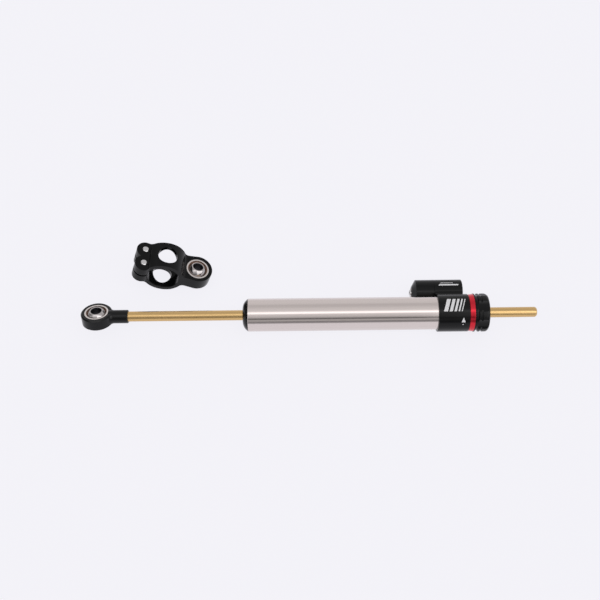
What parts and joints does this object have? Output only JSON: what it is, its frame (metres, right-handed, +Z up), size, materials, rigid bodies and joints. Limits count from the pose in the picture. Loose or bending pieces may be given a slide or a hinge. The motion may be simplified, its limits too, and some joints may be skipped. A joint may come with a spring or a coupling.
{
  "type": "motorcycle steering damper",
  "caption": "Through-rod hydraulic steering damper with a click adjuster, a side reservoir, a rod end with a spherical bearing, and a separate split clamp for its tube.",
  "frame": {"origin": "centre of the rod end's spherical bearing, with the rod 24 mm out from mid stroke", "axes": "+X along the rod from the rod end to the adjuster, +Z up as the damper lies on a bench, +Y to the side that the reservoir and the clamp are on"},
  "size_m": [0.3582, 0.0799, 0.0354],
  "materials": {
    "black_anodised": "satin black anodised",
    "red_anodised": "satin red anodised",
    "tube_metal": "polished, lightly drawn lengthways",
    "gold_coating": "polished, gold nitride coating",
    "bright_aluminium": "turned",
    "race_steel": "ground",
    "ball_steel": "polished",
    "liner_bronze": "woven slide lining",
    "bush_bronze": "sintered",
    "sleeve_brass": "turned",
    "washer_copper": "soft copper",
    "spring_steel": "phosphated",
    "fastener_steel": "plated",
    "seal_rubber": "matt",
    "ring_plastic": "filled slide plastic"
  },
  "bodies": {
    "damper_body": {"outer_tube": "tube_metal", "inner_cylinder": "bright_aluminium", "gland_cap": "black_anodised", "gland_bush": "bush_bronze", "gland_seal": "seal_rubber", "gland_wiper": "seal_rubber", "gland_o_ring": "seal_rubber", "head_housing": "black_anodised", "head_bush": "bush_bronze", "head_seal": "seal_rubber", "seal_washer": "bright_aluminium", "head_wiper": "seal_rubber", "head_o_ring": "seal_rubber", "adjuster_o_rings": "seal_rubber", "knob_circlip": "spring_steel", "stop_pin": "spring_steel", "detent_ball": "ball_steel", "detent_spring": "spring_steel", "reservoir_canister": "black_anodised", "canister_o_ring": "seal_rubber", "reservoir_plug": "fastener_steel", "plug_washer": "washer_copper", "reservoir_spring": "spring_steel"},
    "piston": {"piston": "bright_aluminium", "piston_ring": "ring_plastic"},
    "rod": {"piston_rod": "gold_coating", "piston_circlips": "spring_steel", "rod_end": "black_anodised", "rod_end_race": "race_steel", "rod_end_liner": "liner_bronze"},
    "rod_end_ball": {"rod_end_ball": "ball_steel"},
    "adjuster": {"metering_sleeve": "sleeve_brass", "index_ring": "red_anodised", "adjuster_knob": "black_anodised"},
    "reservoir_piston": {"reservoir_piston": "bright_aluminium", "reservoir_piston_o_ring": "seal_rubber"},
    "frame_clamp": {"clamp_body": "black_anodised", "clamp_bolts": "fastener_steel", "clamp_race": "race_steel", "clamp_liner": "liner_bronze"},
    "clamp_ball": {"clamp_ball": "ball_steel"}
  },
  "joints": [
    {"name": "rod_slide", "type": "slide", "parent": "damper_body", "child": "piston", "axis": [1, 0, 0], "range_m": [-0.036, 0.084]},
    {"name": "rod_spin", "type": "hinge", "parent": "piston", "child": "rod", "pos_m": [0.1777, 0, 0], "axis": [1, 0, 0], "continuous": true},
    {"name": "rod_end_swivel", "type": "hinge", "parent": "rod", "child": "rod_end_ball", "pos_m": [0, 0, 0], "axis": [0, 0.2334, 0.9724], "continuous": true},
    {"name": "adjuster_turn", "type": "hinge", "parent": "damper_body", "child": "adjuster", "pos_m": [0.2992, 0, 0], "axis": [1, 0, 0], "range_deg": [-160, 160]},
    {"name": "reservoir_float", "type": "slide", "parent": "damper_body", "child": "reservoir_piston", "axis": [1, 0, 0], "range_m": [-0.0025, 0.0025], "stiffness_N_per_m": 1500, "deforming": ["reservoir_spring"]},
    {"name": "clamp_lift", "type": "slide", "parent": "damper_body", "child": "frame_clamp", "axis": [0, 0, 1], "range_m": [0, 0.06]},
    {"name": "clamp_ball_tilt", "type": "hinge", "parent": "frame_clamp", "child": "clamp_ball", "pos_m": [0.0745, 0.05012, -0.00505], "axis": [0.9491, 0, -0.315], "range_deg": [-2, 28]}
  ]
}
